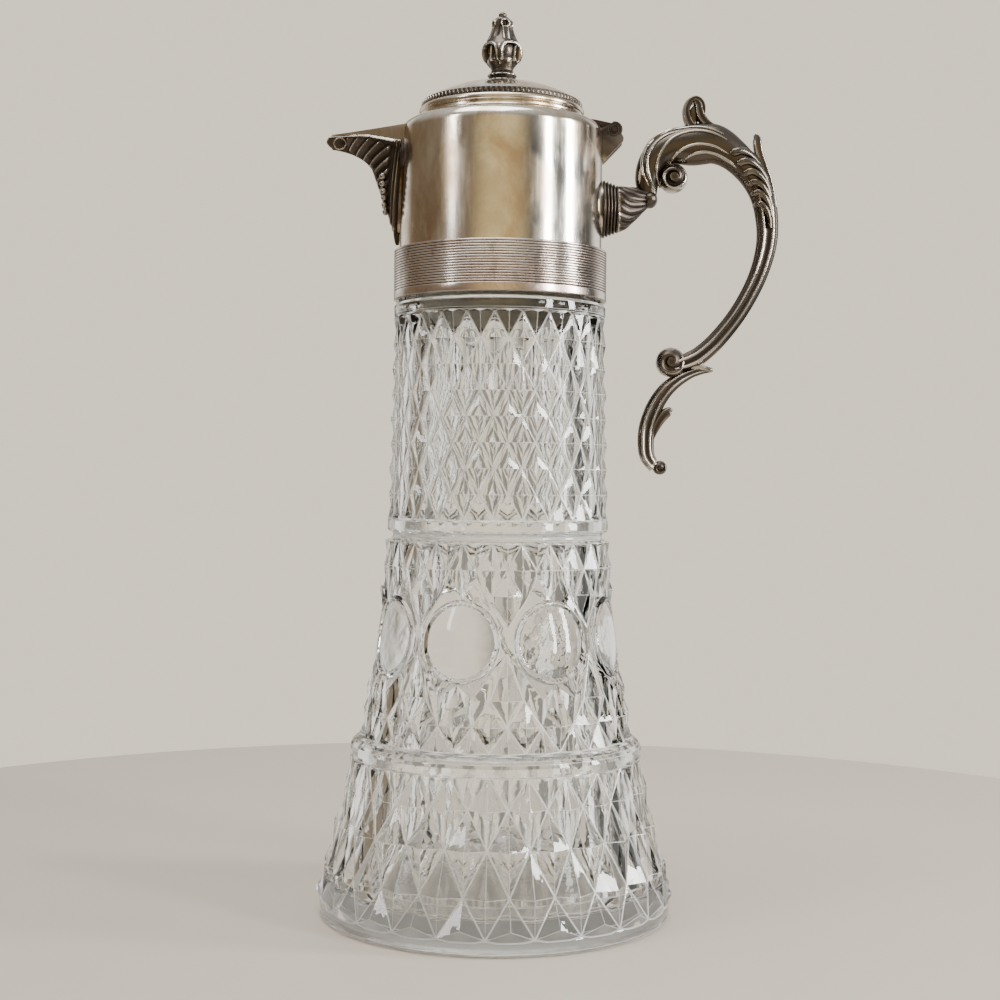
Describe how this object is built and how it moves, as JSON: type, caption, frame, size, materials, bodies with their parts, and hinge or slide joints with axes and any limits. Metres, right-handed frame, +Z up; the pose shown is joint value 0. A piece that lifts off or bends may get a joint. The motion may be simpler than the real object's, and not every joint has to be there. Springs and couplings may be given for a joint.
{
  "type": "claret jug",
  "caption": "Pressed-glass claret jug in three flared tiers with a plated drum mount, beak spout, cast scroll handle and hinged domed lid.",
  "frame": {"origin": "centre of the foot on the table", "axes": "+Z up, -X towards the spout, +X towards the handle, -Y towards the viewer of the picture"},
  "size_m": [0.1547, 0.1206, 0.3046],
  "materials": {
    "glass": "clear pressed glass, fire-polished, sharp moulded diamonds softened at their points",
    "cement": "off-white setting cement",
    "silver_sheet": "silver plate over brass sheet, polished, with warm tarnish",
    "silver_band": "silver plate over turned brass, tarnished in the grooves",
    "silver_cast": "silver-plated casting, darkened in the hollows and rubbed bright on the ridges",
    "fixing": "plain brass"
  },
  "bodies": {
    "jug": {"glass_body": "glass", "cement_ring": "cement", "mount_drum": "silver_sheet", "reeded_band": "silver_band", "spout_channel": "silver_sheet", "spout_casting": "silver_cast", "hinge_bracket": "silver_cast", "hinge_pin": "fixing", "handle_socket": "silver_cast", "handle_scroll": "silver_cast", "handle_screw": "fixing", "handle_washer": "fixing"},
    "lid": {"lid_shell": "silver_sheet", "lid_milled_ring": "silver_band", "lid_bezel": "silver_sheet", "lid_hinge_leaf": "silver_cast", "finial": "silver_cast", "finial_screw": "fixing", "finial_washer": "fixing", "finial_nut": "fixing"}
  },
  "joints": [
    {"name": "lid_hinge", "type": "hinge", "parent": "jug", "child": "lid", "pos_m": [0.038, 0, 0.2644], "axis": [0, 1, 0], "range_deg": [0, 105]}
  ]
}
